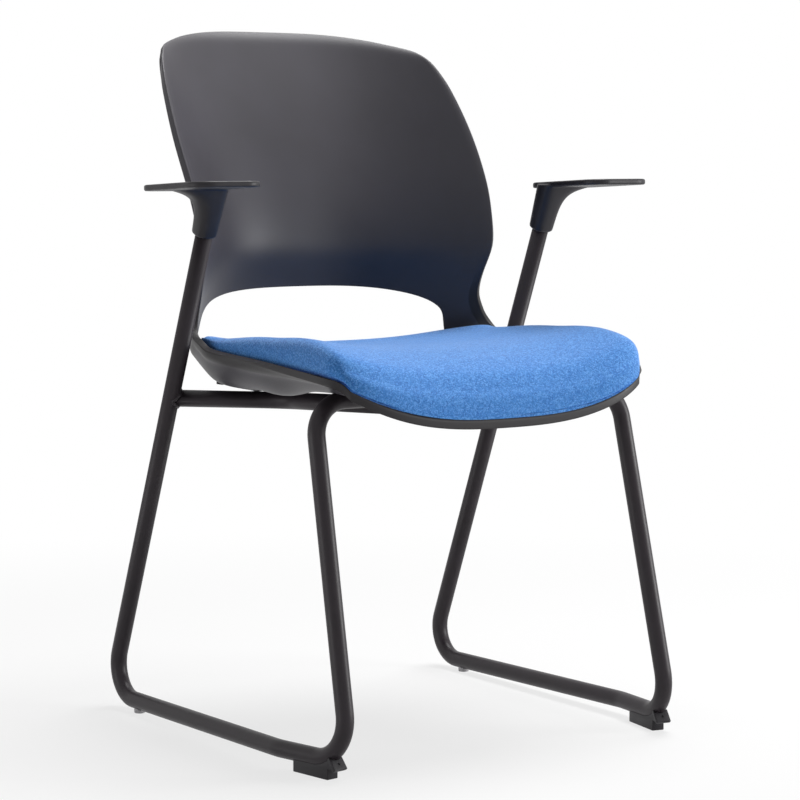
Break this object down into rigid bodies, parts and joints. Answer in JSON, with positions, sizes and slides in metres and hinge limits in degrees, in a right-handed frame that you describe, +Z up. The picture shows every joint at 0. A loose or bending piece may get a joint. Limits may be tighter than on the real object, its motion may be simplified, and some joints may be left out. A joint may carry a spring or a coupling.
{
  "type": "office chair",
  "caption": "Sled-base visitor armchair: one-piece moulded shell with a lumbar opening, upholstered seat pad, bent steel tube frame and T-shaped armrests.",
  "frame": {"origin": "centre of the bounding box at floor level", "axes": "+Z up, the sitter faces -Y, +X to the right as seen from the front of the picture"},
  "size_m": [0.633, 0.5481, 0.825],
  "materials": {
    "shell": "moulded polypropylene with a fine matt grain",
    "cover": "woven melange cloth",
    "foam": "moulded polyurethane foam",
    "board": "pressed plywood",
    "frame": "satin powder coat on steel",
    "fittings": "moulded black plastic",
    "glide": "moulded grey plastic",
    "bumper": "soft black block",
    "zinc": "zinc plated"
  },
  "bodies": {
    "root": {"seat_back_shell": "shell", "seat_cover": "cover", "seat_foam": "foam", "seat_board": "board", "left_side_tube": "frame", "right_side_tube": "frame", "left_seat_rail": "frame", "right_seat_rail": "frame", "front_left_tab": "frame", "rear_left_tab": "frame", "front_right_tab": "frame", "rear_right_tab": "frame", "left_armrest": "fittings", "right_armrest": "fittings", "front_left_foot": "fittings", "front_right_foot": "fittings", "rear_left_glide": "glide", "rear_right_glide": "glide", "left_stack_bumper": "bumper", "right_stack_bumper": "bumper", "cross_bar_sleeve": "zinc", "front_left_t_nut": "zinc", "rear_left_t_nut": "zinc", "front_right_t_nut": "zinc", "rear_right_t_nut": "zinc", "front_left_bolt_washer": "zinc", "rear_left_bolt_washer": "zinc", "front_right_bolt_washer": "zinc", "rear_right_bolt_washer": "zinc", "front_left_seat_bolt": "zinc", "rear_left_seat_bolt": "zinc", "front_right_seat_bolt": "zinc", "rear_right_seat_bolt": "zinc", "left_armrest_screw": "zinc", "right_armrest_screw": "zinc", "front_left_foot_screw": "zinc", "front_right_foot_screw": "zinc"}
  },
  "joints": []
}
